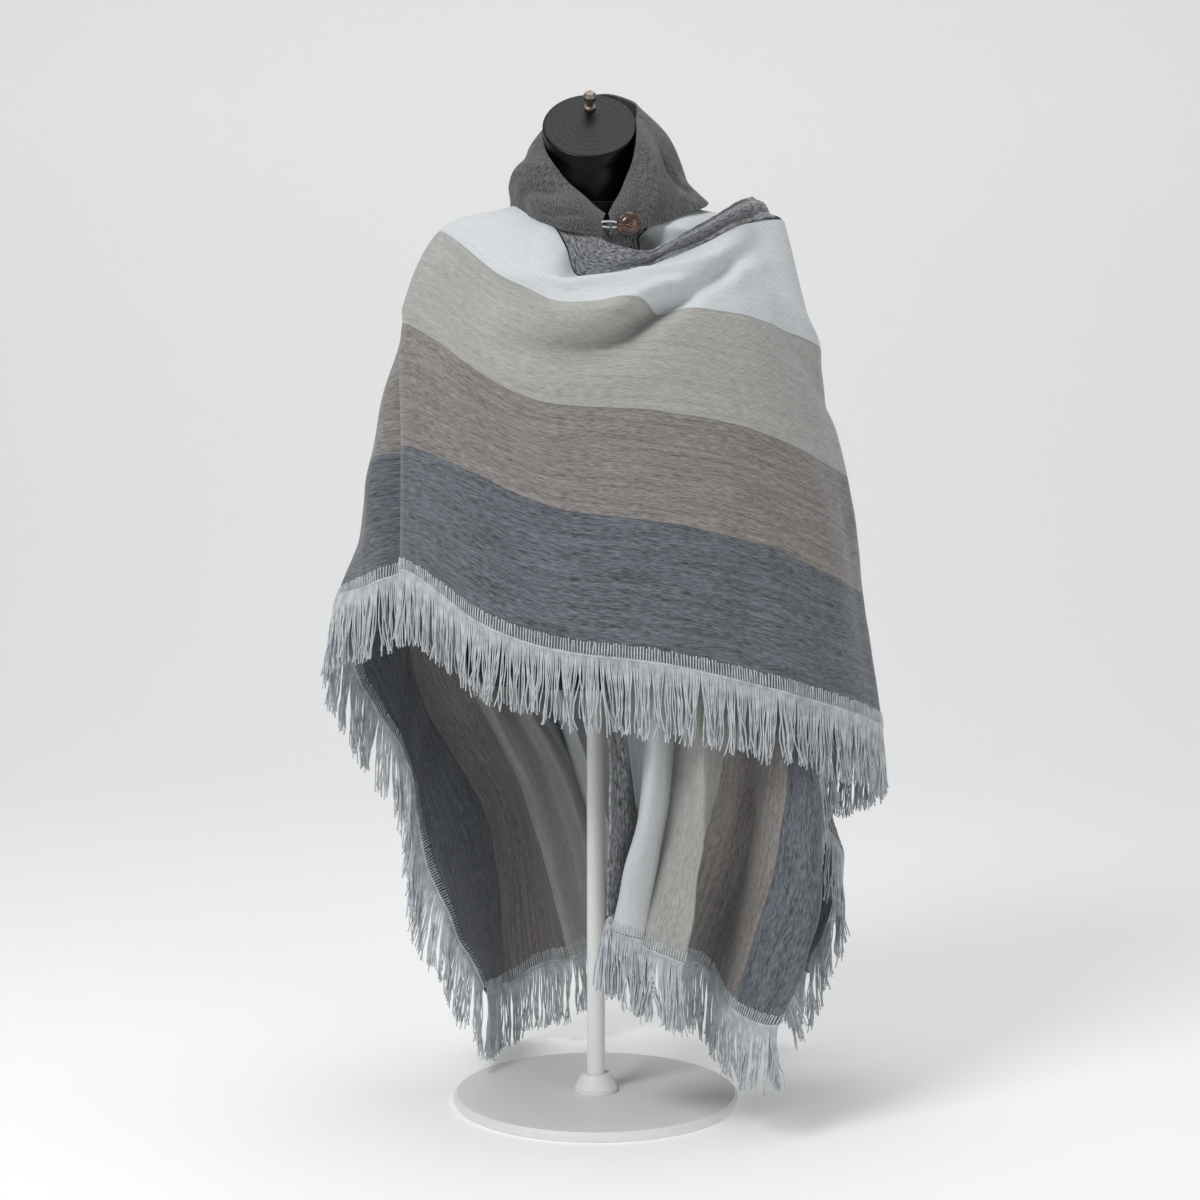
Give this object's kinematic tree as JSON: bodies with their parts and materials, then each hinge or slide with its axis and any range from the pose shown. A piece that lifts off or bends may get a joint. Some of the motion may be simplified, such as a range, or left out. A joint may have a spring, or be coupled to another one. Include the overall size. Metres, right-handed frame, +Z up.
{
  "type": "hooded andean poncho on a limbless dress form with a stand",
  "caption": "Open-front hooded Andean poncho in wide stripes with fringe all round, one front thrown over the shoulder, worn on a limbless dress form on a round stand.",
  "frame": {"origin": "middle of the underside of the stand's round base, on the floor", "axes": "+Z up, the garment faces -Y, +X is towards the wearer's left"},
  "size_m": [0.6914, 0.5144, 1.2321],
  "materials": {
    "striped_cloth": "woven wool-acrylic, wide melange stripes in cream, beige, taupe and dark grey",
    "grey_cloth": "woven grey melange wool-acrylic",
    "white_yarn": "off-white acrylic yarn, twisted, hanging in a fringe",
    "button_wood": "dark stained wood, turned and lacquered",
    "form_plastic": "black moulded plastic, satin gloss",
    "stem_steel": "dull steel",
    "stand_paint": "white powder coat"
  },
  "bodies": {
    "root": {"back_panel": "striped_cloth", "right_front_thrown": "striped_cloth", "left_front_hanging": "striped_cloth", "hood": "grey_cloth", "right_front_band": "grey_cloth", "left_front_band": "grey_cloth", "fringe_right_side_front": "white_yarn", "fringe_right_side_back": "white_yarn", "fringe_back_hem": "white_yarn", "fringe_left_side_back": "white_yarn", "fringe_left_side_front": "white_yarn", "fringe_left_front_hem": "white_yarn", "fringe_right_front_hem": "white_yarn", "button": "button_wood", "button_loop": "white_yarn", "tassel_left_band": "white_yarn", "form_torso": "form_plastic", "form_neck": "form_plastic", "form_stem": "stem_steel", "stand_base": "stand_paint", "stand_collar": "stand_paint", "stand_pole": "stand_paint"}
  },
  "joints": []
}
